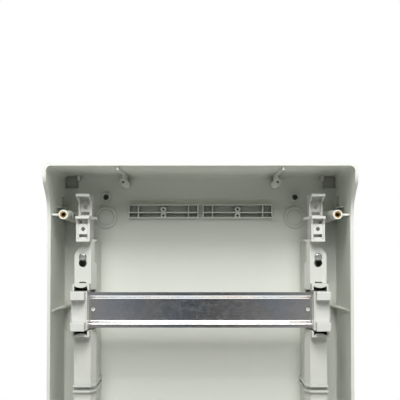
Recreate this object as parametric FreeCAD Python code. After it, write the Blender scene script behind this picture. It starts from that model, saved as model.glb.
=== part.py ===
import FreeCAD, Part
import math
import os

from FreeCAD import Vector

os.makedirs("parts", exist_ok=True)

# A surface distribution board for two rows of twelve modules, with its cover off.
# X runs to the right, Z up, and the open front faces -Y. The building wall is the plane Y = 0,
# and the origin is the middle of the four wall-fixing holes. Lengths are in millimetres.
# A depth is measured forwards from the inner face of the back wall.

# Box shell
inner_width = 288.0  # between the side walls, at the back wall
inner_height = 430.0  # between the end walls, at the back wall
wall = 3.0
back_wall = 3.0
stand_off = 5.0  # air gap between the back wall and the building wall
end_depth = 119.5  # rim along the top and the bottom
side_depth = 90.0  # rim along the sides
draft_deg = 0.45
corner_radius = 8.0
inner_fillet = 2.0  # where the back wall meets the other walls
rear_fillet = 2.5
weld = 0.3  # how far a rib or a pad runs into the wall that carries it
cut_past = 1.0  # how far a cut runs past the face it opens
same_place = 0.01  # two heights or depths this close are the same

# Swept step of the rim
rim_end_flat = 10.0  # from the outside of the end wall to the start of the step
crest_radius = 12.0
hollow_radius = 32.0
step_angle = 52.0

# Wall fixing, in a sunk cup in each corner
cup_width = 14.0
cup_height = 13.0
cup_wall = 2.0
cup_floor = 3.0
fixing_hole = 5.5
fixing_skin = 0.8  # closes the hole in front until it is pierced

# Posts that the cover screws to
cover_post_from_side = 11.0
cover_post_from_end = 43.8
cover_post_tip = 88.0
cover_post_width = 9.2
cover_post_shoulder = 53.0
cover_post_shoulder_width = 10.6
cover_post_foot = 13.0
cover_post_foot_depth = 34.0
cover_post_rib = 1.8
cover_post_pilot = 4.2
insert_width = 6.2
insert_bore = 3.4
insert_length = 8.0
insert_sink = 0.4
insert_groove = 0.5
insert_fit = 0.03

# Chassis columns
column_from_side = 27.0  # from the side wall to the middle of a column
upright_front = 63.0
upright_face_width = 16.5
upright_wall = 1.8
upright_plate = 2.4
ledge_width = 4.7
ledge_drop = 9.0
leg_inset = 1.9
foot_gap = 0.3
end_bevel_width = 5.8
end_bevel_height = 8.4
end_bevel_from_end = 4.4
mid_rib = 2.1
mid_rib_spacing = 5.2
mid_rib_proud = 4.0  # in front of the faces
mid_rib_lip = 0.5
mid_rib_leg_lip = 1.5
ledge_trim = 20.9  # length at each end where the ledge is cut back flush with the leg

# Hanging screws and their keyholes
upper_screw_from_end = 14.8  # from the end of the upright
lower_screw_from_end = 20.8
lift_travel = 6.3
screw_shank = 3.5
screw_head = 6.6
screw_head_height = 2.3
screw_length = 22.0
screw_recess = 1.0
head_gap = 0.3
bore_fit = 0.03
keyhole_slot = 4.1
keyhole_mouth = 8.0
keyhole_sink_width = 7.4
keyhole_sink = 1.2
hang_gap = 0.05
screw_post_width = 8.4
screw_post_foot = 10.6
screw_post_foot_depth = 12.0

# Collars of the uprights, which take the rail holders
collar_from_end = 41.4  # from the end of the upright
collar_half_height = 25.9
collar_front = 78.0
collar_back = 20.0
collar_wall = 1.8
collar_bow = 1.9  # how far the springy bars bow into the window
notch_half_height = 19.9
notch_floor = 42.0
guide_width = 2.4
guide_front = 52.0
tooth_width = 6.0
tooth_front = 60.0
tooth_depth = 3.5
relief_width = 7.0
relief_height = 1.2
relief_gap = 0.5

# Rail holders
holder_half_height = 19.1
holder_side_gap = 0.3
holder_back = 34.0
holder_wall = 2.0
holder_head_inner = 4.9  # from the middle of the column, towards the middle of the box
holder_head_outer = 8.8
head_thickness = 1.4
head_seat_gap = 0.3
lug_front = 91.0
lug_height = 8.3
lug_fillet = 0.7
lug_bevel = 1.6
seat_rib = 1.8
seat_rib_from_end = 0.6
arm_reach = 3.5  # past the middle of the peg
arm_half_height = 5.0
arm_thickness = 2.2
peg_from_column = 10.0
peg_width = 4.0
peg_proud = 1.0
peg_slit = 0.9
peg_fit = 0.25
rail_fit = 0.2

# Mounting rails, top-hat section
rail_height = 35.0
rail_depth = 7.5
rail_thickness = 1.0
rail_crown = 27.0
rail_front = 66.0
rail_past_column = 2.4
crown_bend = 2.0  # inside radius
brim_bend = 0.8

# Terminal brackets
bracket_from_end = 23.3  # from the end wall to the end of a bracket
bracket_from_column = 1.65  # towards the middle of the box
bracket_width = 13.4
bracket_wall = 1.8
bracket_foot_back = 12.0
bracket_back = 42.0
bracket_low_face = 57.0
bracket_high_face = 74.0
bracket_floor = 2.4
bracket_gap = 0.1
bracket_high_height = 20.1
bracket_low_height = 19.5
bottom_floor_front = 77.0
middle_floor_front = 81.0
top_floor_front = 80.0
web_thickness = 1.6
web_proud = 2.0
web_flare = 5.0  # how far below a floor its side webs start to widen
web_setback = 1.0
spigot_height = 4.0
spigot_gap = 0.3
terminal_slot_width = 8.0
terminal_slot_height = 3.0
terminal_slot_inset = 3.4
terminal_hole = 3.8

# Reinforcement and bosses on the back wall and the side walls
gusset_foot = 7.1
gusset_depth = 79.0
gusset_thickness = 1.7
end_boss_x = 78.0
end_boss_from_end = 9.7
end_boss_width = 8.0
end_boss_bore = 2.4
end_boss_depth = 50.0
end_boss_bore_depth = 12.0
end_rib_thickness = 1.6
end_rib_proud = 2.8
ring_x = 100.0
ring_from_end = 44.0
ring_width = 22.2
ring_wall = 2.1
ring_depth = 3.6
knock_out_groove = 1.0
knock_out_skin = 0.8
tube_from_end = 22.8
tube_width = 9.0
tube_bore = 6.0
tube_depth = 6.0
tube_floor = 0.8  # left of the back wall behind the bore
grid_inner_x = 2.8
grid_outer_x = 75.6
grid_from_end = 30.2
grid_height = 15.0
grid_rib = 1.4
grid_depth = 6.0
grid_post_inset = 9.9
grid_middle = 8.8  # from the top rib down to the middle rib
grid_boss_width = 6.2
grid_boss_bore = 2.4
grid_boss_shift = 3.3
side_pocket_from_end = 34.0
side_pocket_height = 11.0
side_pocket_back = 8.0
side_pocket_front = 52.0
side_pocket_proud = 2.6
side_pocket_rib = 1.6
side_pocket_sink = 1.2
corner_rib_from_side = 16.6
corner_rib_thickness = 2.4
corner_rib_height = 5.2
corner_rib_depth = 12.0

# Places worked out from the sizes above
half_width = inner_width / 2
half_height = inner_height / 2
slope = math.tan(math.radians(draft_deg))
side_weld = half_width + slope * end_depth + weld
end_weld = half_height + slope * end_depth + weld
rear_depth = -(back_wall + stand_off)  # of the building wall
column_x = half_width - column_from_side
face_outer = column_x + upright_face_width / 2
face_inner = column_x - upright_face_width / 2
ledge_edge = face_inner - ledge_width
ledge_front = upright_front - ledge_drop
leg_x = ledge_edge + leg_inset
window_inner = face_inner + collar_wall
window_outer = face_outer - collar_wall
bracket_length = bracket_gap + 3 * bracket_floor + bracket_high_height + bracket_low_height
upright_half_length = half_height - bracket_from_end - bracket_length
row_height = upright_half_length - collar_from_end - collar_half_height
rail_rows = (row_height, -row_height)
rail_half_length = column_x + rail_past_column
peg_x = column_x - peg_from_column
screw_heights = (upright_half_length - upper_screw_from_end, lower_screw_from_end - upright_half_length)
bracket_outer = column_x - bracket_from_column + bracket_width / 2
bracket_inner = bracket_outer - bracket_width
screw_seat = upright_front - keyhole_sink + head_gap
cover_post_x = half_width - cover_post_from_side
cover_post_z = half_height - cover_post_from_end
fixing_x = half_width - cup_width / 2
fixing_z = half_height - cup_height / 2


# Plain shapes, placed by X, depth and Z

def block(x_from, x_to, depth_from, depth_to, z_from, z_to):
    corner = Vector(x_from, rear_depth - depth_to, z_from)
    return Part.makeBox(x_to - x_from, depth_to - depth_from, z_to - z_from, corner)


def rod(x, z, width, depth_from, depth_to):
    foot = Vector(x, rear_depth - depth_from, z)
    return Part.makeCylinder(width / 2, depth_to - depth_from, foot, Vector(0, -1, 0))


def taper(x, z, width_from, width_to, depth_from, depth_to):
    foot = Vector(x, rear_depth - depth_from, z)
    height = depth_to - depth_from
    return Part.makeCone(width_from / 2, width_to / 2, height, foot, Vector(0, -1, 0))


def plan_prism(outline, z_from, z_to):
    """A prism along Z from (x, depth) points."""
    points = [Vector(x, rear_depth - depth, z_from) for x, depth in outline]
    face = Part.Face(Part.makePolygon(points + points[:1]))
    return face.extrude(Vector(0, 0, z_to - z_from))


def face_prism(outline, depth_from, depth_to):
    """A prism along the depth from (x, z) points."""
    points = [Vector(x, rear_depth - depth_from, z) for x, z in outline]
    face = Part.Face(Part.makePolygon(points + points[:1]))
    return face.extrude(Vector(0, depth_from - depth_to, 0))


def slotted_face(x, z_from, z_to, width, depth_from, depth_to):
    """An upright slot with round ends, its end centres at the two heights."""
    straight = block(x - width / 2, x + width / 2, depth_from, depth_to, z_from, z_to)
    ends = [rod(x, z, width, depth_from, depth_to) for z in (z_from, z_to)]
    return straight.fuse(ends)


def left_right(shape):
    return [shape, shape.mirror(Vector(), Vector(1, 0, 0))]


def each_corner(shape):
    pair = left_right(shape)
    return pair + [side.mirror(Vector(), Vector(0, 0, 1)) for side in pair]


# Box shell: one moulding, open at the front

def rounded_frame(half_x, half_z, radius, depth):
    y = rear_depth - depth
    diagonal = radius * (1 - math.sqrt(0.5))
    edges = []
    corners = ((1, 1), (-1, 1), (-1, -1), (1, -1))
    for index, (sx, sz) in enumerate(corners):
        nx, nz = corners[(index + 1) % 4]
        on_side = Vector(sx * half_x, y, sz * (half_z - radius))
        on_end = Vector(sx * (half_x - radius), y, sz * half_z)
        middle = Vector(sx * (half_x - diagonal), y, sz * (half_z - diagonal))
        first, last = (on_side, on_end) if sx == sz else (on_end, on_side)
        edges.append(Part.Arc(first, middle, last).toShape())
        if sx == sz:
            target = Vector(nx * (half_x - radius), y, nz * half_z)
        else:
            target = Vector(nx * half_x, y, nz * (half_z - radius))
        edges.append(Part.LineSegment(last, target).toShape())
    return Part.Wire(edges)


def drafted_block(grow, radius, depth_from, depth_to):
    """A block with moulding draft, grown outwards from the cavity of the box."""
    frames = []
    for depth in (depth_from, depth_to):
        spread = grow + slope * depth
        frames.append(rounded_frame(half_width + spread, half_height + spread, radius, depth))
    return Part.makeLoft(frames, True, True)


def edges_at_depth(shape, depth):
    y = rear_depth - depth
    boxes = [(edge, edge.BoundBox) for edge in shape.Edges]
    return [edge for edge, box in boxes if max(abs(box.YMin - y), abs(box.YMax - y)) < same_place]


def rim_cutter():
    """What is cut away in front of the rim: low along the sides, swept up to both ends."""
    turn = math.radians(step_angle)
    drop = 1 - math.cos(turn)
    run = (end_depth - side_depth - (crest_radius + hollow_radius) * drop) / math.sin(turn)
    crest_z = half_height + wall - rim_end_flat
    hollow_z = crest_z - (crest_radius + hollow_radius) * math.sin(turn) - run * math.cos(turn)

    def point(z, depth):
        return Vector(-inner_width, rear_depth - depth, z)

    def on_crest(angle):
        return crest_z - crest_radius * math.sin(angle), end_depth - crest_radius * (1 - math.cos(angle))

    def on_hollow(angle):
        rise = hollow_radius * (1 - math.cos(angle))
        return hollow_z + hollow_radius * math.sin(angle), side_depth + rise

    edges = []
    for side in (1, -1):
        crest = [point(side * z, d) for z, d in (on_crest(a) for a in (0.0, turn / 2, turn))]
        hollow = [point(side * z, d) for z, d in (on_hollow(a) for a in (turn, turn / 2, 0.0))]
        edges.append(Part.Arc(*crest).toShape())
        edges.append(Part.LineSegment(crest[2], hollow[0]).toShape())
        edges.append(Part.Arc(*hollow).toShape())
    clear = end_depth + wall
    outer = [(crest_z, end_depth), (crest_z, clear), (-crest_z, clear), (-crest_z, end_depth)]
    path = [point(z, d) for z, d in outer]
    edges += [Part.LineSegment(a, b).toShape() for a, b in zip(path, path[1:])]
    edges.append(Part.LineSegment(point(hollow_z, side_depth), point(-hollow_z, side_depth)).toShape())
    outline = Part.Wire(Part.__sortEdges__(edges))
    return Part.Face(outline).extrude(Vector(2 * inner_width, 0, 0))


def shell():
    outside = drafted_block(wall, corner_radius, rear_depth, end_depth)
    outside = outside.makeFillet(rear_fillet, edges_at_depth(outside, rear_depth))
    hollow = drafted_block(0.0, corner_radius - wall, 0.0, end_depth + wall)
    hollow = hollow.makeFillet(inner_fillet, edges_at_depth(hollow, 0.0))
    rear_space = drafted_block(0.0, corner_radius - wall, rear_depth, -back_wall)
    return outside.cut([hollow, rear_space, rim_cutter()])


def fixing_cup():
    """The sunk cup of a wall-fixing hole, in the upper right corner."""
    inner_x = half_width - cup_width
    inner_z = half_height - cup_height
    outer_x = half_width + weld
    outer_z = half_height + weld
    pad = block(inner_x - cup_wall, outer_x, rear_depth, 0.0, inner_z - cup_wall, outer_z)
    outer_edge = [e for e in pad.Edges if e.BoundBox.XMin > half_width and e.BoundBox.ZMin > half_height]
    pad = pad.makeFillet(corner_radius - wall + weld, outer_edge)
    well = block(inner_x, half_width, rear_depth + cup_floor, inner_fillet, inner_z, half_height)
    hole = rod(fixing_x, fixing_z, fixing_hole, rear_depth, rear_depth + cup_floor - fixing_skin)
    return [pad], [well, hole]


def cover_post():
    """The post for a cover screw, with the rib that ties it to the side wall."""
    x, z = cover_post_x, cover_post_z
    tube = rod(x, z, cover_post_width, 0.0, cover_post_tip)
    shoulder = rod(x, z, cover_post_shoulder_width, 0.0, cover_post_shoulder)
    foot = taper(x, z, cover_post_foot, cover_post_shoulder_width, 0.0, cover_post_foot_depth)
    half_rib = cover_post_rib / 2
    rib = block(x, side_weld, 0.0, cover_post_tip - 2 * cover_post_rib, z - half_rib, z + half_rib)
    depth = cover_post_tip - insert_sink - insert_length
    seat = rod(x, z, insert_width + 2 * insert_fit, depth, cover_post_tip)
    pilot = rod(x, z, cover_post_pilot, depth - insert_length, cover_post_tip)
    return [tube, shoulder, foot, rib], [seat, pilot]


def screw_post(z):
    """The post behind a keyhole, which the upright hangs on."""
    tip = upright_front - upright_plate - foot_gap
    post = rod(column_x, z, screw_post_width, 0.0, tip)
    foot = taper(column_x, z, screw_post_foot, screw_post_width, 0.0, screw_post_foot_depth)
    bore_end = screw_seat - screw_length - screw_shank
    bore = rod(column_x, z, screw_shank + 2 * bore_fit, bore_end, tip)
    return [post, foot], [bore]


def end_boss():
    """A screw boss near the end wall, and the rib that runs along that wall to the rim."""
    z = half_height - end_boss_from_end
    boss = rod(end_boss_x, z, end_boss_width, 0.0, end_boss_depth)
    half_rib = end_rib_thickness / 2
    web = block(end_boss_x - half_rib, end_boss_x + half_rib, 0.0, end_boss_depth, z, end_weld)
    low = half_height - end_rib_proud
    runner = block(end_boss_x - half_rib, end_boss_x + half_rib, 0.0, end_depth - wall, low, end_weld)
    bore = rod(end_boss_x, z, end_boss_bore, end_boss_depth - end_boss_bore_depth, end_boss_depth)
    return [boss, web, runner], [bore]


def knock_out():
    """A ringed cable knock-out, thinned by a groove from behind."""
    z = half_height - ring_from_end
    ring = rod(ring_x, z, ring_width, -back_wall, ring_depth)
    field = rod(ring_x, z, ring_width - 2 * ring_wall, 0.0, ring_depth)
    groove = rod(ring_x, z, ring_width - 2 * ring_wall, -back_wall, -knock_out_skin)
    core = rod(ring_x, z, ring_width - 2 * ring_wall - 2 * knock_out_groove, -back_wall, -knock_out_skin)
    return [ring], [field, groove.cut(core)]


def wire_tube():
    z = half_height - tube_from_end
    bore = rod(ring_x, z, tube_bore, tube_floor - back_wall, tube_depth)
    return [rod(ring_x, z, tube_width, 0.0, tube_depth)], [bore]


def rib_grid():
    """The stiffening grid beside the middle, with its two small bosses."""
    top = half_height - grid_from_end
    bottom = top - grid_height
    middle = top - grid_middle
    ribs = []
    for z in (top - grid_rib, middle - grid_rib / 2, bottom):
        ribs.append(block(grid_inner_x, grid_outer_x, 0.0, grid_depth, z, z + grid_rib))
    inset = grid_post_inset
    for x in (grid_inner_x, grid_inner_x + inset, grid_outer_x - inset, grid_outer_x):
        ribs.append(block(x - grid_rib / 2, x + grid_rib / 2, 0.0, grid_depth, bottom, top))
    centre = (grid_inner_x + grid_outer_x) / 2
    bores = []
    for z in (middle + grid_boss_shift, middle - grid_boss_shift):
        ribs.append(rod(centre, z, grid_boss_width, 0.0, grid_depth))
        bores.append(rod(centre, z, grid_boss_bore, 0.0, grid_depth))
    return ribs, bores


def side_pocket():
    """Angled ribs round a shallow pocket in the side wall, beside the cover post."""
    z = half_height - side_pocket_from_end
    inner = half_width - side_pocket_proud
    end_front = side_pocket_back + side_pocket_rib
    top = z + side_pocket_height
    shelf = block(inner, side_weld, side_pocket_back, side_pocket_front, z - side_pocket_rib, z)
    end = block(inner, side_weld, side_pocket_back, end_front, z, top)
    from_x = half_width - inner_fillet
    sink = block(from_x, half_width + side_pocket_sink, end_front, side_pocket_front / 2, z, top)
    return [shelf, end], [sink]


def corner_rib():
    x = half_width - corner_rib_from_side
    low = half_height - corner_rib_height
    return block(x, x + corner_rib_thickness, 0.0, corner_rib_depth, low, end_weld)


def rail_gusset(z):
    """A tall triangular gusset between the side wall and the back wall, at a rail's height."""
    slope_line = [(half_width - gusset_foot, 0.0), (half_width, gusset_depth)]
    in_wall = [(side_weld, gusset_depth), (side_weld, 0.0)]
    return plan_prism(slope_line + in_wall, z - gusset_thickness / 2, z + gusset_thickness / 2)


def back_box():
    solids = []
    holes = []
    for feature in (fixing_cup, cover_post, end_boss, knock_out, wire_tube, rib_grid, side_pocket):
        added, removed = feature()
        for piece in added:
            solids += each_corner(piece)
        for piece in removed:
            holes += each_corner(piece)
    solids += each_corner(corner_rib())
    for z in rail_rows:
        solids += left_right(rail_gusset(z))
    for z in screw_heights:
        added, removed = screw_post(z)
        for piece in added:
            solids += left_right(piece)
        for piece in removed:
            holes += left_right(piece)
    body = shell().fuse(solids)
    return body.cut(holes).removeSplitter()


# Cover-screw inserts: turned brass, pressed into the tips of the cover posts

def cover_insert():
    front = cover_post_tip - insert_sink
    back = front - insert_length
    place = (cover_post_x, cover_post_z)
    body = rod(*place, insert_width, back, front)
    middle = (front + back) / 2
    neck = rod(*place, insert_width, middle - insert_groove, middle + insert_groove)
    neck_core = rod(*place, insert_width - 2 * insert_groove, back, front)
    bore = rod(*place, insert_bore, back, front)
    mouth = taper(*place, insert_bore, insert_bore + 2 * insert_groove, front - insert_groove, front)
    return body.cut([neck.cut(neck_core), bore, mouth])


# Chassis screws: pan heads with a cross recess, one behind each keyhole mouth

def chassis_screw(z):
    head_top = screw_seat + screw_head_height
    shank = rod(column_x, z, screw_shank, screw_seat - screw_length, screw_seat + screw_head_height / 2)
    head = rod(column_x, z, screw_head, screw_seat, head_top)
    head = head.makeFillet(screw_head_height / 2, edges_at_depth(head, head_top))
    arm = screw_head / 4
    half_slot = screw_recess / 2
    deep = head_top - screw_recess
    tall = block(column_x - half_slot, column_x + half_slot, deep, head_top, z - arm, z + arm)
    level = block(column_x - arm, column_x + arm, deep, head_top, z - half_slot, z + half_slot)
    return head.fuse(shank).cut([tall, level])


# Uprights: moulded channels that carry the rails, hung by keyholes and standing on the back wall

def upright_section():
    """A channel whose inner flank slopes back from the face to the edge of the ledge."""
    lean = ledge_width / ledge_drop
    across_flank = upright_wall * math.hypot(1.0, lean)
    under_plate = upright_front - upright_plate
    leg_in = leg_x + upright_wall
    return [
        (face_outer, foot_gap),
        (face_outer, upright_front),
        (face_inner, upright_front),
        (ledge_edge, ledge_front),
        (ledge_edge, ledge_front - upright_wall),
        (leg_x, ledge_front - upright_wall),
        (leg_x, foot_gap),
        (leg_in, foot_gap),
        (leg_in, upright_front - (face_inner + across_flank - leg_in) / lean),
        (face_inner + across_flank - lean * upright_plate, under_plate),
        (face_outer - upright_wall, under_plate),
        (face_outer - upright_wall, foot_gap),
    ]


def cross_rib(z):
    """A full rib through the channel, whose lip stands proud of the faces."""
    outer = face_outer + mid_rib_lip
    inner = face_inner - mid_rib_lip
    outline = [
        (outer, foot_gap),
        (outer, upright_front + mid_rib_proud),
        (inner, upright_front + mid_rib_proud),
        (ledge_edge - mid_rib_lip, ledge_front + mid_rib_proud),
        (leg_x - mid_rib_leg_lip, foot_gap),
    ]
    return plan_prism(outline, z - mid_rib / 2, z + mid_rib / 2)


def end_bevel():
    start = upright_half_length - end_bevel_from_end
    step = face_outer - end_bevel_width
    outside = face_outer + upright_wall
    top = upright_half_length + upright_wall
    outline = [(face_outer, start - end_bevel_height), (step, start), (step, top), (outside, top)]
    outline.append((outside, start - end_bevel_height))
    upper = face_prism(outline, 0.0, upright_front + upright_wall)
    return [upper, upper.mirror(Vector(), Vector(0, 0, 1))]


def ledge_trims():
    low = upright_half_length - ledge_trim
    upper = block(ledge_edge - cut_past, leg_x, 0.0, upright_front, low, upright_half_length + cut_past)
    return [upper, upper.mirror(Vector(), Vector(0, 0, 1))]


def collar_window(row):
    """The window of a collar: its top and bottom bars bow inwards."""
    corner = collar_half_height - collar_wall
    bowed = corner - collar_bow
    y = rear_depth - collar_back
    middle_x = (window_inner + window_outer) / 2
    top = [(window_inner, corner), (middle_x, bowed), (window_outer, corner)]
    bottom = [(window_outer, -corner), (middle_x, -bowed), (window_inner, -corner)]
    top_points = [Vector(x, y, row + z) for x, z in top]
    bottom_points = [Vector(x, y, row + z) for x, z in bottom]
    edges = [
        Part.Arc(*top_points).toShape(),
        Part.LineSegment(top_points[2], bottom_points[0]).toShape(),
        Part.Arc(*bottom_points).toShape(),
        Part.LineSegment(bottom_points[2], top_points[0]).toShape(),
    ]
    return Part.Face(Part.Wire(edges)).extrude(Vector(0, collar_back - collar_front, 0))


def collar_guides(row):
    """Guide ribs behind, and the latch tooth behind each bowed bar."""
    inner_edge = holder_half_height + holder_side_gap
    root = collar_wall / 2
    outer_edge = collar_half_height - root
    tooth_from = column_x - tooth_width / 2
    tooth_to = column_x + tooth_width / 2
    pieces = []
    for low, high in ((inner_edge, outer_edge), (-outer_edge, -inner_edge)):
        z = (row + low, row + high)
        for x_from, x_to in ((window_inner - root, window_inner + guide_width),
                             (window_outer - guide_width, window_outer + root)):
            pieces.append(block(x_from, x_to, collar_back, guide_front, *z))
        pieces.append(block(tooth_from, tooth_to, tooth_front - tooth_depth, tooth_front, *z))
    return pieces


def keyhole(z):
    """A keyhole with a sunk seat for the screw head, its mouth below the screw."""
    slack = (keyhole_slot - screw_shank) / 2 - hang_gap
    hang_z = z - slack
    mouth_z = z - lift_travel
    under = upright_front - 2 * upright_plate
    slot = slotted_face(column_x, mouth_z, hang_z, keyhole_slot, under, upright_front)
    floor = upright_front - keyhole_sink
    sink = slotted_face(column_x, mouth_z, hang_z, keyhole_sink_width, floor, upright_front)
    mouth = rod(column_x, mouth_z, keyhole_mouth, under, upright_front)
    return [slot, sink, mouth]


def relief_slots(row):
    """Narrow slots above and below a collar, which let its bars flex."""
    near = collar_half_height + relief_gap
    x_from = column_x - relief_width / 2
    x_to = column_x + relief_width / 2
    under = upright_front - 2 * upright_plate
    heights = (row + near, row - near - relief_height)
    return [block(x_from, x_to, under, upright_front, z, z + relief_height) for z in heights]


def upright():
    solids = [plan_prism(upright_section(), -upright_half_length, upright_half_length)]
    holes = end_bevel() + ledge_trims()
    rib_z = mid_rib_spacing / 2
    solids += [cross_rib(rib_z), cross_rib(-rib_z)]
    guides = []
    for row in rail_rows:
        low = row - collar_half_height
        high = row + collar_half_height
        solids.append(block(face_inner, face_outer, collar_back, collar_front, low, high))
        holes.append(collar_window(row))
        gap_low = row - notch_half_height
        gap_high = row + notch_half_height
        notch_x = (ledge_edge - cut_past, window_inner)
        holes.append(block(*notch_x, notch_floor, collar_front, gap_low, gap_high))
        holes += relief_slots(row)
        guides += collar_guides(row)
    for z in screw_heights:
        holes += keyhole(z)
    body = solids[0].fuse(solids[1:]).cut(holes)
    return body.fuse(guides).removeSplitter()


# Mounting rails: rolled steel strip, held at both ends in the rail holders

def rail_section(row, clearance, x_from, x_to):
    """The top-hat section, or the same opened by a clearance all round."""
    top = rail_height / 2 + clearance
    brim = rail_front + clearance
    brim_back = rail_front - rail_thickness - clearance
    crown = rail_crown / 2 + clearance
    crown_in = rail_crown / 2 - rail_thickness - clearance
    base = rail_front - rail_depth - clearance
    base_in = rail_front - rail_depth + rail_thickness + clearance
    half = [(top, brim), (top, brim_back), (crown, brim_back), (crown, base)]
    inner = [(crown_in, base_in), (crown_in, brim)]
    outline = half + [(-z, d) for z, d in reversed(half)]
    outline += [(-z, d) for z, d in reversed(inner)] + inner
    points = [Vector(x_from, rear_depth - d, row + z) for z, d in outline]
    solid = Part.Face(Part.makePolygon(points + points[:1])).extrude(Vector(x_to - x_from, 0, 0))
    bends = (
        (crown, base, crown_bend + rail_thickness),
        (crown_in, base_in, crown_bend),
        (crown, brim_back, brim_bend),
        (crown_in, brim, brim_bend + rail_thickness),
    )
    for z, depth, radius in bends:
        edges = []
        for edge in solid.Edges:
            centre = edge.BoundBox.Center
            along = edge.BoundBox.XLength > (x_to - x_from) / 2
            off_line = max(abs(abs(centre.z - row) - z), abs(rear_depth - depth - centre.y))
            if along and off_line < same_place:
                edges.append(edge)
        solid = solid.makeFillet(radius, edges)
    return solid


def mounting_rail(row):
    rail = rail_section(row, 0.0, -rail_half_length, rail_half_length)
    hole = rod(peg_x, row, peg_width + 2 * peg_fit, rail_front - 2 * rail_depth, rail_front)
    return rail.cut(left_right(hole))


# Rail holders: moulded slides that carry a rail end and stand in a collar

def rail_holder(row):
    inner = window_inner + holder_side_gap
    outer = window_outer - holder_side_gap
    half = holder_half_height
    seat = collar_front + head_seat_gap
    body = block(inner, outer, holder_back, seat + head_thickness / 2, row - half, row + half)
    core = block(
        inner + holder_wall,
        outer - holder_wall,
        holder_back,
        seat - holder_wall,
        row - half + holder_wall,
        row + half - holder_wall,
    )
    rib_to = rail_half_length - seat_rib_from_end
    rib_from = rib_to - seat_rib
    seat_plate = block(rib_from, rib_to, holder_back, seat - holder_wall, row - half, row + half)
    head_from = column_x - holder_head_inner
    head_to = column_x + holder_head_outer
    plate = block(head_from, head_to, seat, seat + head_thickness, row - half, row + half)
    upper_lug = block(head_from, head_to, seat, lug_front, row + half - lug_height, row + half)
    upper_lug = upper_lug.makeFillet(lug_fillet, edges_at_depth(upper_lug, lug_front))
    lower_lug = block(head_from, head_to, seat, lug_front, row - half, row - half + lug_height)
    lower_lug = lower_lug.makeFillet(lug_fillet, edges_at_depth(lower_lug, lug_front))
    bevel = [(head_to - lug_bevel, row - half), (head_to, row - half + lug_bevel), (head_to, row - half)]
    lower_lug = lower_lug.cut(face_prism(bevel, seat + head_thickness, lug_front))
    arm_front = rail_front - rail_depth - head_gap
    arm = block(
        peg_x - arm_reach,
        inner + holder_wall / 2,
        arm_front - arm_thickness,
        arm_front,
        row - arm_half_height,
        row + arm_half_height,
    )
    peg_tip = rail_front - rail_depth + rail_thickness + peg_proud
    peg = rod(peg_x, row, peg_width, arm_front - arm_thickness / 2, peg_tip)
    peg = peg.makeFillet(peg_proud / 2, edges_at_depth(peg, peg_tip))
    slit = block(peg_x - peg_slit / 2, peg_x + peg_slit / 2, arm_front, peg_tip, row, row + peg_width)
    slot = rail_section(row, rail_fit, inner - cut_past, rail_half_length + rail_fit)
    slide = body.cut(core).fuse([seat_plate, plate, upper_lug, lower_lug])
    return slide.cut(slot).fuse([arm, peg.cut(slit)]).removeSplitter()


# Terminal brackets: stepped supports at both ends of each upright

def bracket_plate(z, back, front, lobe):
    """A cross plate of the bracket, with the lobe that matches the ledge of the upright."""
    outline = [(bracket_outer, back), (bracket_outer, front), (bracket_inner, front)]
    if lobe:
        outline += [(bracket_inner, upright_front), (ledge_edge, ledge_front), (leg_x, back)]
    else:
        outline += [(bracket_inner, back)]
    return plan_prism(outline, z, z + bracket_floor)


def bracket_step(z_from, z_to, face):
    """One level of the bracket: a channel with two slots and a hole in its face."""
    body = block(bracket_inner, bracket_outer, bracket_back, face, z_from, z_to)
    under = face - bracket_wall
    inside = (bracket_inner + bracket_wall, bracket_outer - bracket_wall)
    core = block(*inside, bracket_back, under, z_from, z_to)
    middle = (bracket_inner + bracket_outer) / 2
    cuts = [core, rod(middle, (z_from + z_to) / 2, terminal_hole, under, face)]
    half_width_of_slot = terminal_slot_width / 2
    half_slot = terminal_slot_height / 2
    for z in (z_from + terminal_slot_inset, z_to - terminal_slot_inset):
        slot_x = (middle - half_width_of_slot, middle + half_width_of_slot)
        cuts.append(block(*slot_x, under, face, z - half_slot, z + half_slot))
    return body.cut(cuts)


def side_webs(z_from, z_to, face, low_front, high_front):
    """Webs along both sides of a level, widening towards the plates below and above it."""
    edge = face + web_proud
    outline = [
        (z_from, face - bracket_wall),
        (z_from, max(edge, low_front - web_setback)),
        (z_from + web_flare, edge),
        (z_to - web_flare, edge),
        (z_to, high_front - web_setback),
        (z_to, face - bracket_wall),
    ]
    webs = []
    for x in (bracket_inner, bracket_outer - web_thickness):
        points = [Vector(x, rear_depth - depth, z) for z, depth in outline]
        webs.append(Part.Face(Part.makePolygon(points + points[:1])).extrude(Vector(web_thickness, 0, 0)))
    return webs


def spigot():
    """The short spigot that stands inside the end of the upright."""
    top = upright_half_length + bracket_gap
    outer = face_outer - end_bevel_width - spigot_gap
    inner = leg_x + upright_wall + spigot_gap
    front = ledge_front - upright_wall - spigot_gap
    low = top - spigot_height
    solid = block(inner, outer, bracket_foot_back, front, low, top)
    core_front = front - bracket_wall
    core = block(inner + bracket_wall, outer - bracket_wall, bracket_foot_back, core_front, low, top)
    return solid.cut(core)


def terminal_bracket():
    bottom = upright_half_length + bracket_gap
    high_from = bottom + bracket_floor
    high_to = high_from + bracket_high_height
    low_from = high_to + bracket_floor
    low_to = low_from + bracket_low_height
    pieces = [
        bracket_plate(high_to, bracket_back, middle_floor_front, True),
        bracket_plate(low_to, bracket_back, top_floor_front, False),
        bracket_step(high_from, high_to, bracket_high_face),
        bracket_step(low_from, low_to, bracket_low_face),
        spigot(),
    ]
    pieces += side_webs(high_from, high_to, bracket_high_face, bottom_floor_front, middle_floor_front)
    pieces += side_webs(low_from, low_to, bracket_low_face, bracket_low_face, top_floor_front)
    foot = bracket_plate(bottom, bracket_foot_back, bottom_floor_front, True)
    return foot.fuse(pieces).removeSplitter()


# One file for each piece

def save(shape, node):
    shape.exportStep("parts/" + node + ".step")


def save_pair(shape, node):
    right, left = left_right(shape)
    save(right, node + "_right")
    save(left, node + "_left")


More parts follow.
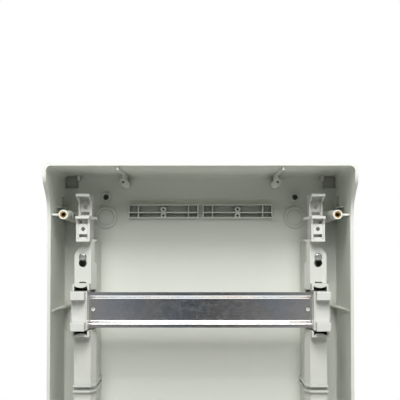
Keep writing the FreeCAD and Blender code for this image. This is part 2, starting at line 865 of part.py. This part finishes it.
save(back_box(), "back_box")
save(Part.makeCompound(each_corner(cover_insert())), "cover_screw_inserts")
screws = [side for z in screw_heights for side in left_right(chassis_screw(z))]
save(Part.makeCompound(screws), "chassis_screws")
save_pair(upright(), "upright")
upper_bracket = terminal_bracket()
save_pair(upper_bracket, "terminal_bracket_upper")
save_pair(upper_bracket.mirror(Vector(), Vector(0, 0, 1)), "terminal_bracket_lower")
for level, row in zip(("upper", "lower"), rail_rows):
    save(mounting_rail(row), "mounting_rail_" + level)
    save_pair(rail_holder(row), "rail_holder_" + level)
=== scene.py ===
import math

import bpy
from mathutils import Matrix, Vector


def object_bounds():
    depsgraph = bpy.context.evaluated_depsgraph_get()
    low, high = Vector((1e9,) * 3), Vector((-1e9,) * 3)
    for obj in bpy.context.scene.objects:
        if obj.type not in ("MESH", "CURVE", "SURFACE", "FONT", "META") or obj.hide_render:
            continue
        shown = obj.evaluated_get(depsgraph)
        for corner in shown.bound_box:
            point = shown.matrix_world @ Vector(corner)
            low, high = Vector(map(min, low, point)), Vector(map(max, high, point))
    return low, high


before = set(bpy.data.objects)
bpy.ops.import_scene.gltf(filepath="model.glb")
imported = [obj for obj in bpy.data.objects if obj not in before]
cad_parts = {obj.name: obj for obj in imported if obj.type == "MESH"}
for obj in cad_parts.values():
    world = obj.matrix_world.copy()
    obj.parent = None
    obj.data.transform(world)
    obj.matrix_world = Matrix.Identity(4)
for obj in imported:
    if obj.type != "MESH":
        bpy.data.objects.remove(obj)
cad_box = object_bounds()


# Back box
# One deep injection moulding in light grey ABS, open at the front, with its posts, cups and ribs in it.
# Its tool is spark eroded, so the walls have a fine even grain that breaks up the highlights.

millimetre = 0.001
mix_factor, colour_a, colour_b, mixed_colour = 0, 6, 7, 2  # places of the sockets of a Mix node for colours


def linear(hex_colour):
    """The colour of an sRGB hex value, as Blender's sockets take it."""
    channels = [int(hex_colour[i:i + 2], 16) / 255 for i in (1, 3, 5)]
    return tuple(c / 12.92 if c <= 0.04045 else ((c + 0.055) / 1.055) ** 2.4 for c in channels) + (1.0,)


def add_node(tree, kind, settings=None, links=None, **properties):
    """One node, with the values of its sockets, what is linked into them, and its properties."""
    node = tree.nodes.new(kind)
    for name, value in properties.items():
        setattr(node, name, value)
    for socket, value in (settings or {}).items():
        node.inputs[socket].default_value = value
    for socket, source in (links or {}).items():
        tree.links.new(source, node.inputs[socket])
    return node


def new_material(name):
    """An empty material, and the tree that its nodes go into."""
    material = bpy.data.materials.new(name)
    material.use_nodes = True
    material.node_tree.nodes.clear()
    return material, material.node_tree


def moulded_plastic(name, colour, clouded_colour, roughness, shade_reach):
    """A thermoplastic moulded against a spark-eroded tool: satin, with a fine grain and faint flow clouds.

    Painted shade: its colour is darkened where walls surround a place within shade_reach, and at the feet of
    ribs, because the soft lamps alone leave such places too light.
    """
    grain = 0.7 * millimetre  # about 0.1 mm on the real tool, drawn coarser so that it shows
    grain_depth = 0.05 * millimetre
    cloud = 60 * millimetre
    edge_round = 0.35 * millimetre
    closed_in = 0.1  # the open share of its surroundings at which a place gets the darkest painted shade
    deep_place_shade = (shade_reach, 0.52, 0.45)  # reach, open share that keeps the full colour, darkest painted shade
    rib_foot_shade = (4 * millimetre, 0.8, 0.75)
    material, tree = new_material(name)
    place = add_node(tree, "ShaderNodeTexCoord").outputs["Object"]
    clouds = add_node(
        tree, "ShaderNodeTexNoise", {"Scale": 1 / cloud, "Detail": 3.0, "Roughness": 0.55},
        {"Vector": place})
    tint = add_node(
        tree, "ShaderNodeMix", {colour_a: linear(colour), colour_b: linear(clouded_colour)},
        {mix_factor: clouds.outputs["Fac"]}, data_type="RGBA")
    colour_with_painted_shade = tint.outputs[mixed_colour]
    # Each ambient-occlusion node paints shade into the colour where walls stand close round a place.
    for reach, open_enough, darkest in (deep_place_shade, rib_foot_shade):
        surroundings = add_node(tree, "ShaderNodeAmbientOcclusion", {"Distance": reach}, samples=8)
        painted_shade = add_node(
            tree, "ShaderNodeMapRange",
            {"From Min": closed_in, "From Max": open_enough, "To Min": darkest, "To Max": 1.0},
            {"Value": surroundings.outputs["AO"]})
        colour_with_painted_shade = add_node(
            tree, "ShaderNodeVectorMath", links={0: colour_with_painted_shade, "Scale": painted_shade.outputs["Result"]},
            operation="SCALE").outputs[0]
    pits = add_node(tree, "ShaderNodeTexNoise", {"Scale": 1 / grain, "Detail": 4.0}, {"Vector": place})
    dulling = add_node(
        tree, "ShaderNodeMapRange",
        {"From Min": 0.3, "From Max": 0.7, "To Min": roughness - 0.05, "To Max": roughness + 0.07},
        {"Value": clouds.outputs["Fac"]})
    edges = add_node(tree, "ShaderNodeBevel", {"Radius": edge_round}, samples=6)
    relief = add_node(
        tree, "ShaderNodeBump", {"Strength": 0.12, "Distance": grain_depth},
        {"Height": pits.outputs["Fac"], "Normal": edges.outputs["Normal"]})
    surface = add_node(
        tree, "ShaderNodeBsdfPrincipled", {"IOR": 1.53},
        {"Base Color": colour_with_painted_shade, "Roughness": dulling.outputs["Result"], "Normal": relief.outputs["Normal"]})
    add_node(tree, "ShaderNodeOutputMaterial", links={"Surface": surface.outputs["BSDF"]})
    return material


def finish_node(name, material):
    """Gives a CAD node its material, and smooth shading between the edges of the real piece."""
    sharpest_smooth_bend = 32  # degrees
    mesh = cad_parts[name].data
    mesh.materials.clear()
    mesh.materials.append(material)
    mesh.set_sharp_from_angle(angle=math.radians(sharpest_smooth_bend))


box_plastic = moulded_plastic(
    "abs_light_grey_spark_eroded", "#EAECE4", "#E5E8DF", roughness=0.5, shade_reach=14 * millimetre)
finish_node("back_box", box_plastic)


# Cover-screw inserts
# Turned brass bushes, pressed into the tips of the four cover posts and tapped for the cover screws.
# The lathe leaves fine rings round each end face, so the brass glints in short arcs.

def ringed_metal(name, colour, tarnished_colour, roughness, axes):
    """A metal finished about an axis: fine rings from the lathe or the die, and tarnish in patches."""
    ring = 0.25 * millimetre  # finer on the real piece, drawn coarser so that it shows
    ring_depth = 0.02 * millimetre
    patch = 2.5 * millimetre
    material, tree = new_material(name)
    place = add_node(tree, "ShaderNodeTexCoord").outputs["Object"]
    nearest = None
    for x, z in axes:
        offset = add_node(tree, "ShaderNodeVectorMath", {1: (x, 0.0, z)}, {0: place}, operation="SUBTRACT")
        flat = add_node(
            tree, "ShaderNodeVectorMath", {1: (1.0, 0.0, 1.0)}, {0: offset.outputs[0]},
            operation="MULTIPLY")
        radius = add_node(
            tree, "ShaderNodeVectorMath", links={0: flat.outputs[0]}, operation="LENGTH").outputs["Value"]
        if nearest is None:
            nearest = radius
        else:
            nearest = add_node(
                tree, "ShaderNodeMath", links={0: nearest, 1: radius}, operation="MINIMUM").outputs[0]
    turns = add_node(tree, "ShaderNodeMath", {1: 2 * math.pi / ring}, {0: nearest}, operation="MULTIPLY")
    rings = add_node(tree, "ShaderNodeMath", links={0: turns.outputs[0]}, operation="SINE")
    tarnish = add_node(tree, "ShaderNodeTexNoise", {"Scale": 1 / patch, "Detail": 3.0}, {"Vector": place})
    tint = add_node(
        tree, "ShaderNodeMix", {colour_a: linear(colour), colour_b: linear(tarnished_colour)},
        {mix_factor: tarnish.outputs["Fac"]}, data_type="RGBA")
    relief = add_node(
        tree, "ShaderNodeBump", {"Strength": 0.25, "Distance": ring_depth}, {"Height": rings.outputs[0]})
    surface = add_node(
        tree, "ShaderNodeBsdfPrincipled", {"Metallic": 1.0, "Roughness": roughness},
        {"Base Color": tint.outputs[mixed_colour], "Normal": relief.outputs["Normal"]})
    add_node(tree, "ShaderNodeOutputMaterial", links={"Surface": surface.outputs["BSDF"]})
    return material


insert_x = 133 * millimetre
insert_z = 171.2 * millimetre
insert_axes = [(x, z) for x in (insert_x, -insert_x) for z in (insert_z, -insert_z)]
brass = ringed_metal("brass_turned", "#C9A25E", "#B08947", roughness=0.28, axes=insert_axes)
finish_node("cover_screw_inserts", brass)


# Chassis screws
# Pan-head steel screws with a cross recess, driven into the back box, which the uprights hang on.
# Zinc plating over cold-headed steel: smooth domes with soft grey reflections.

screw_x = 117 * millimetre
upper_screw_z = 130 * millimetre
lower_screw_z = -124 * millimetre
screw_axes = [(x, z) for x in (screw_x, -screw_x) for z in (upper_screw_z, lower_screw_z)]
screw_steel = ringed_metal("steel_zinc_plated_headed", "#BDBFBB", "#9EA19C", roughness=0.3, axes=screw_axes)
finish_node("chassis_screws", screw_steel)


# Uprights
# Two moulded channels in light grey ABS that hang on the chassis screws and carry the rails.
# They have the grain of the box, in a slightly greyer batch of the resin.

upright_plastic = moulded_plastic(
    "abs_pale_grey_spark_eroded", "#DADCD4", "#D6D8D0", roughness=0.48, shade_reach=14 * millimetre)
for side in ("left", "right"):
    finish_node("upright_" + side, upright_plastic)


# Terminal brackets
# Stepped polyamide supports for the neutral and earth bars, plugged into the ends of the uprights.
# Polyamide comes from the tool a little glossier than the ABS of the box.

corners = ("upper_left", "upper_right", "lower_left", "lower_right")
bracket_plastic = moulded_plastic(
    "polyamide_pale_grey_moulded", "#E1E2DC", "#DCDED7", roughness=0.42, shade_reach=5 * millimetre)
for corner in corners:
    finish_node("terminal_bracket_" + corner, bracket_plastic)


# Rail holders
# Polyamide slides that stand in the collars of the uprights, each with a seat and a peg for a rail end.
# They share the brackets' resin, with a smoother tool, so their lugs catch the light.

holder_plastic = moulded_plastic(
    "polyamide_pale_grey_smooth", "#E3E4DF", "#DEE0D9", roughness=0.38, shade_reach=14 * millimetre)
for corner in corners:
    finish_node("rail_holder_" + corner, holder_plastic)


# Mounting rails
# Top-hat rails rolled from steel strip, zinc plated and clear passivated, held by the holders.
# Rolling leaves fine lines along the rail, handling dulls small patches of it, and the passivation has a
# faint warm and blue cast.

rolling_line = 0.9 * millimetre  # finer on the real rail, drawn as coarse as shows
rolling_line_length = 25 * millimetre
rolling_depth = 0.02 * millimetre
cast_size = 70 * millimetre
handled_patch = 3 * millimetre
handled_share = 0.3  # how much the patches dull the rail, against the rolling lines
blue_cast = (0.38, "#C6CACE")  # place on the noise, colour
warm_cast = (0.62, "#D2CCC7")
rail_metal, rail_tree = new_material("steel_strip_zinc_plated_rolled")
rail_place = add_node(rail_tree, "ShaderNodeTexCoord").outputs["Object"]
drawn_out = add_node(
    rail_tree, "ShaderNodeMapping",
    {"Scale": (1 / rolling_line_length, 1 / rolling_line, 1 / rolling_line)}, {"Vector": rail_place})
lines = add_node(
    rail_tree, "ShaderNodeTexNoise", {"Scale": 1.0, "Detail": 4.0, "Roughness": 0.6},
    {"Vector": drawn_out.outputs["Vector"]})
casts = add_node(
    rail_tree, "ShaderNodeTexNoise", {"Scale": 1 / cast_size, "Detail": 2.0, "Roughness": 0.5},
    {"Vector": rail_place})
cast_ramp = add_node(rail_tree, "ShaderNodeValToRGB", links={"Fac": casts.outputs["Fac"]})
for stop, (position, colour) in zip(cast_ramp.color_ramp.elements, (blue_cast, warm_cast)):
    stop.position = position
    stop.color = linear(colour)
patches = add_node(
    rail_tree, "ShaderNodeTexVoronoi", {"Scale": 1 / handled_patch, "Randomness": 1.0},
    {"Vector": rail_place})
patch_tone = add_node(rail_tree, "ShaderNodeSeparateColor", links={"Color": patches.outputs["Color"]})
worn = add_node(
    rail_tree, "ShaderNodeMath", {1: handled_share}, {0: patch_tone.outputs["Red"], 2: lines.outputs["Fac"]},
    operation="MULTIPLY_ADD")
rail_dulling = add_node(
    rail_tree, "ShaderNodeMapRange", {"From Min": 0.3, "From Max": 1.0, "To Min": 0.11, "To Max": 0.2},
    {"Value": worn.outputs[0]})
rail_relief = add_node(
    rail_tree, "ShaderNodeBump", {"Strength": 0.05, "Distance": rolling_depth},
    {"Height": lines.outputs["Fac"]})
rail_surface = add_node(
    rail_tree, "ShaderNodeBsdfPrincipled", {"Metallic": 1.0},
    {"Base Color": cast_ramp.outputs["Color"], "Roughness": rail_dulling.outputs["Result"],
     "Normal": rail_relief.outputs["Normal"]})
add_node(rail_tree, "ShaderNodeOutputMaterial", links={"Surface": rail_surface.outputs["BSDF"]})
for level in ("upper", "lower"):
    finish_node("mounting_rail_" + level, rail_metal)


# Floor
# A pale grey disc under the box, painted matt.
# Shiny pieces mirror it brighter than the lamps make it, so that the bends of the rails gleam.

floor_radius = 1.1
floor_sides = 96
floor_z = cad_box[0].z
floor_mirrored = 2.5
blotches_across = 40.0
side_angle = 2 * math.pi / floor_sides
floor_rim = [
    (floor_radius * math.cos(i * side_angle), floor_radius * math.sin(i * side_angle), floor_z)
    for i in range(floor_sides)]
floor_mesh = bpy.data.meshes.new("floor")
floor_mesh.from_pydata(floor_rim, [], [tuple(range(floor_sides))])
floor = bpy.data.objects.new("floor", floor_mesh)
bpy.context.scene.collection.objects.link(floor)
floor_paint, floor_tree = new_material("floor_matt_pale_grey")
floor_blotches = add_node(floor_tree, "ShaderNodeTexNoise", {"Scale": blotches_across, "Detail": 3.0})
floor_tint = add_node(
    floor_tree, "ShaderNodeMix", {colour_a: linear("#D6D6D3"), colour_b: linear("#D0D0CD")},
    {mix_factor: floor_blotches.outputs["Fac"]}, data_type="RGBA").outputs[mixed_colour]
floor_surface = add_node(
    floor_tree, "ShaderNodeBsdfPrincipled", {"Roughness": 0.8}, {"Base Color": floor_tint})
floor_gleam = add_node(floor_tree, "ShaderNodeEmission", {"Strength": floor_mirrored}, {"Color": floor_tint})
floor_ray = add_node(floor_tree, "ShaderNodeLightPath")
floor_shader = add_node(
    floor_tree, "ShaderNodeMixShader",
    links={0: floor_ray.outputs["Is Glossy Ray"], 1: floor_surface.outputs["BSDF"],
           2: floor_gleam.outputs[0]})
add_node(floor_tree, "ShaderNodeOutputMaterial", links={"Surface": floor_shader.outputs[0]})
floor_mesh.materials.append(floor_paint)


# Room
# The camera sees plain white behind the object, and the room adds next to no light to that of the lamps.
# Shiny pieces mirror it as dark straight ahead, and lighter to the sides and below.

room_light = 0.006
ahead, aside, added_below = 0.02, 0.42, 0.8  # how light the parts of the mirrored room are
aside_full = 0.14  # the x of a direction, either way, from which the room is as light as aside
below_from, below_full = -0.1, -0.3  # the z of the directions between which the light below comes in
world = bpy.data.worlds.new("room")
world.use_nodes = True
room = world.node_tree
room.nodes.clear()
direction = add_node(room, "ShaderNodeTexCoord").outputs["Generated"]
heading = add_node(room, "ShaderNodeSeparateXYZ", links={0: direction})
sideways = add_node(room, "ShaderNodeMath", links={0: heading.outputs["X"]}, operation="ABSOLUTE")
side_tone = add_node(
    room, "ShaderNodeMapRange", {"From Min": 0.0, "From Max": aside_full, "To Min": ahead, "To Max": aside},
    {"Value": sideways.outputs[0]})
low_tone = add_node(
    room, "ShaderNodeMapRange",
    {"From Min": below_from, "From Max": below_full, "To Min": 0.0, "To Max": added_below},
    {"Value": heading.outputs["Z"]})
mirrored_tone = add_node(
    room, "ShaderNodeMath", links={0: side_tone.outputs[0], 1: low_tone.outputs[0]}, operation="ADD")
mirrored = add_node(
    room, "ShaderNodeBackground", {"Color": linear("#EFF2F7")}, {"Strength": mirrored_tone.outputs[0]})
lighting = add_node(room, "ShaderNodeBackground", {"Color": linear("#F6F4E4"), "Strength": room_light})
backdrop = add_node(room, "ShaderNodeBackground", {"Color": linear("#FFFFFF"), "Strength": 1.0})
ray = add_node(room, "ShaderNodeLightPath")
unseen = add_node(
    room, "ShaderNodeMixShader",
    links={0: ray.outputs["Is Glossy Ray"], 1: lighting.outputs[0], 2: mirrored.outputs[0]})
everything = add_node(
    room, "ShaderNodeMixShader",
    links={0: ray.outputs["Is Camera Ray"], 1: unseen.outputs[0], 2: backdrop.outputs[0]})
add_node(room, "ShaderNodeOutputWorld", links={"Surface": everything.outputs[0]})
bpy.context.scene.world = world


# Lamps
# A wide soft box stands high in front, so that the end wall shades the top of the back wall, and a small
# one hangs close to the object. Two weak ones behind light its back and its sides.

def soft_box(name, place, target, width, height, power):
    """A rectangular lamp that faces a point of the object."""
    lamp = bpy.data.lights.new(name, "AREA")
    lamp.shape = "RECTANGLE"
    lamp.size = width
    lamp.size_y = height
    lamp.energy = power
    stand = bpy.data.objects.new(name, lamp)
    stand.location = place
    stand.rotation_mode = "QUATERNION"
    stand.rotation_quaternion = (Vector(place) - Vector(target)).to_track_quat("Z", "Y")
    bpy.context.scene.collection.objects.link(stand)


upper_back = (0.0, 0.0, 0.05)
middle_back = (0.0, 0.0, 0.0)
soft_box("key", (0.0, -1.8, 1.1), upper_back, width=1.0, height=0.8, power=22.5)
soft_box("near", (0.0, -0.5, 0.55), upper_back, width=0.3, height=0.2, power=2.15)
soft_box("rear_left", (-1.6, 1.4, 1.0), middle_back, width=1.0, height=1.0, power=7.0)
soft_box("rear_right", (1.6, 1.4, 1.0), middle_back, width=1.0, height=1.0, power=7.0)


# Camera
# It stands a metre in front of the back wall, about level with the upper keyholes, tilted up a little.
# The tilt and the shift of the lens put the upper half of the box in the lower part of the picture.

tilt_up = 2.05  # degrees
camera_data = bpy.data.cameras.new("camera")
camera_data.sensor_width = 36.0
camera_data.lens = 83.83
camera_data.shift_y = 0.03
camera = bpy.data.objects.new("camera", camera_data)
camera.location = (-0.0005, -0.9977, 0.1413)
camera.rotation_euler = (math.radians(90 + tilt_up), 0.0, 0.0)
bpy.context.scene.collection.objects.link(camera)
bpy.context.scene.camera = camera
bpy.context.scene.view_settings.view_transform = "Standard"
